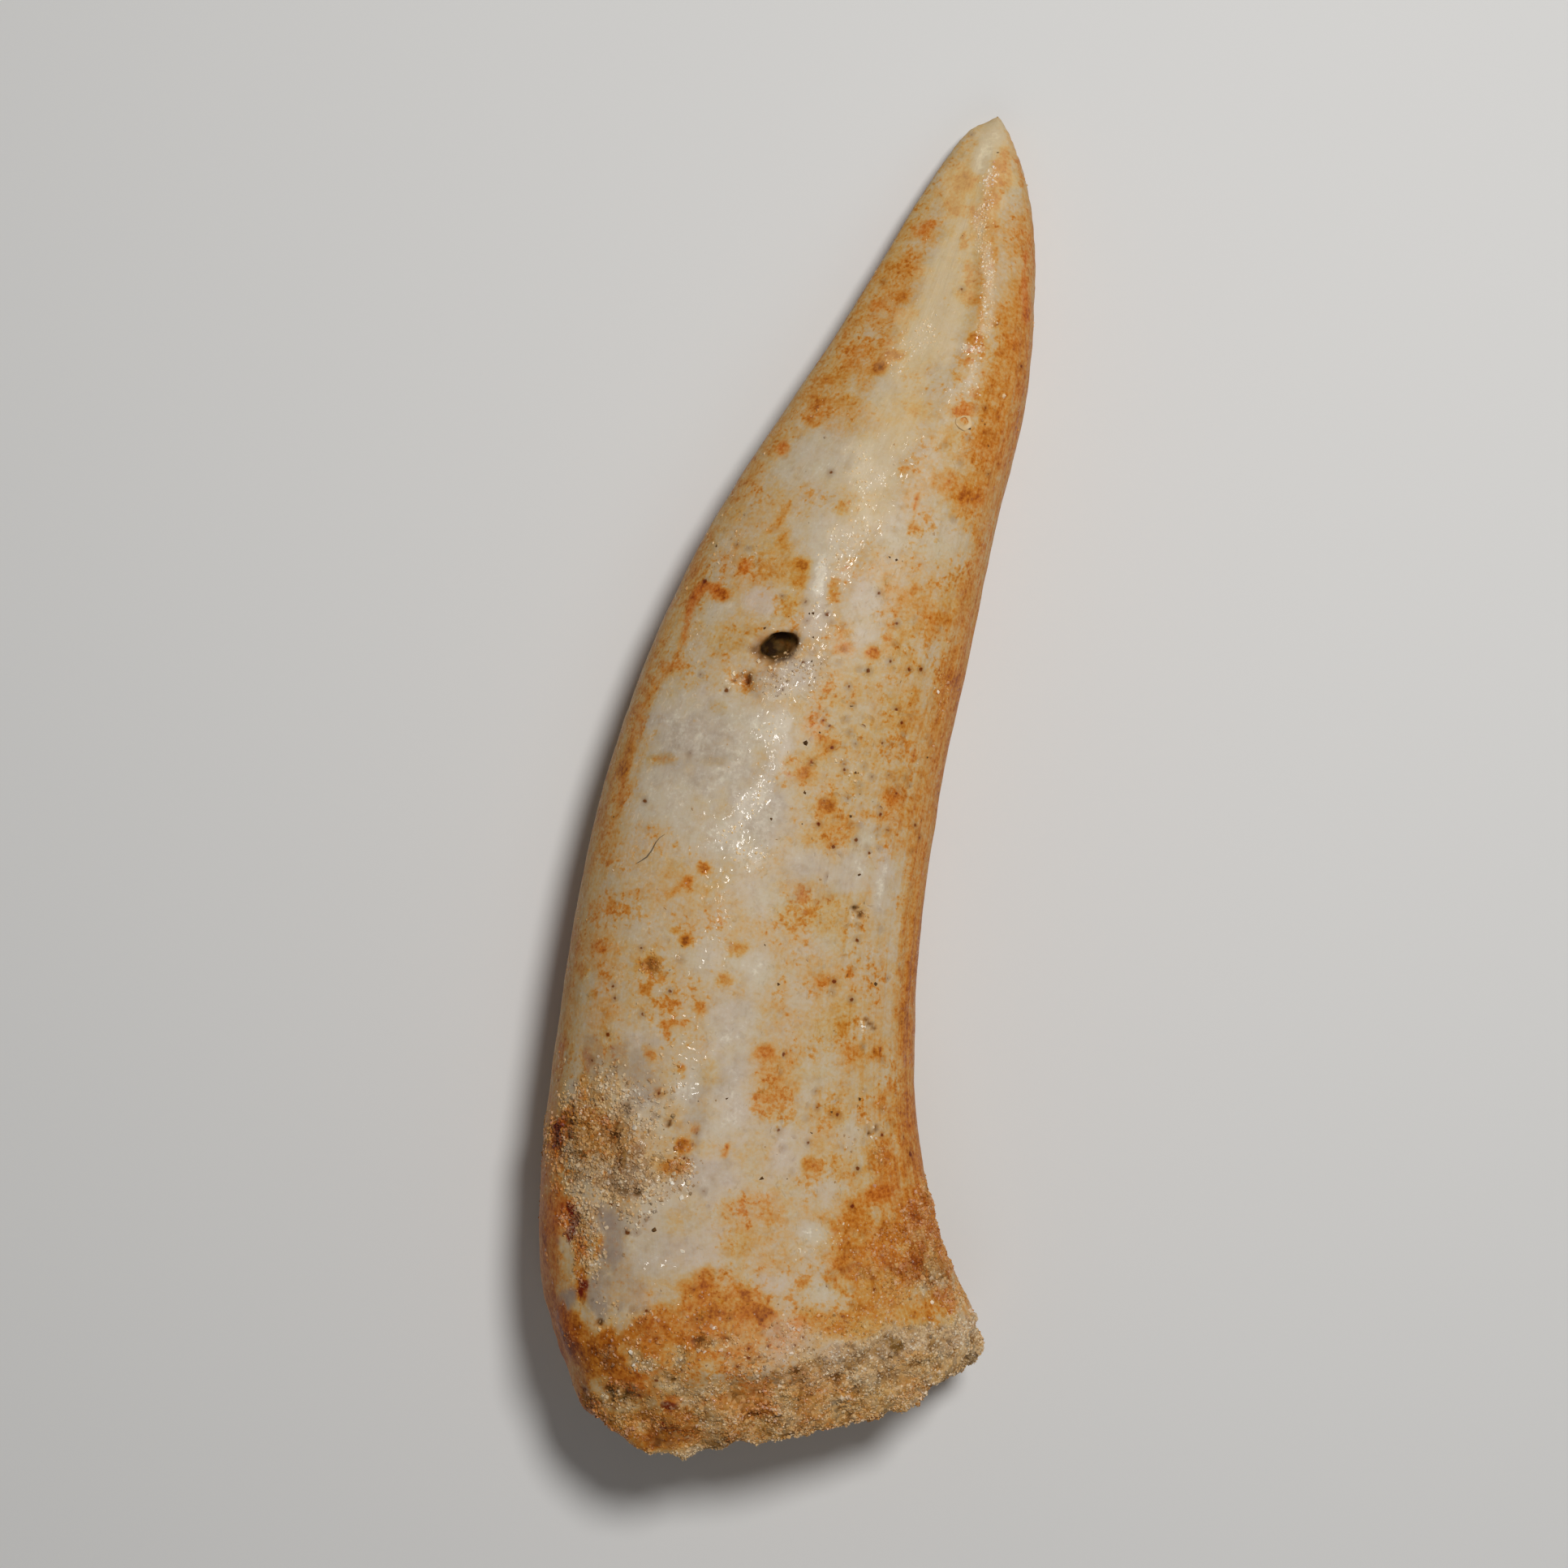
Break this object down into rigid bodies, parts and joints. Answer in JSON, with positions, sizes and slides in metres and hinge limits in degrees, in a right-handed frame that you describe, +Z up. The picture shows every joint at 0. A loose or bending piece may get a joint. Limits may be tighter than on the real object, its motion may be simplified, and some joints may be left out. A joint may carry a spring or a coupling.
{
  "type": "fossil fish fang",
  "caption": "Curved fossil fang with a keeled tip, a flared broken root and crusts of cemented sand, lying on a worn flat of its underside.",
  "frame": {"origin": "centre of the fang's box seen from above, at the level of the surface it lies on", "axes": "+Y from the broken root to the tip, +X towards the hollow edge, +Z up out of the face that the picture shows"},
  "size_m": [0.017, 0.049, 0.0083],
  "materials": {
    "fossil_enamel": "satin"
  },
  "bodies": {
    "root": {"fang": "fossil_enamel"}
  },
  "joints": []
}
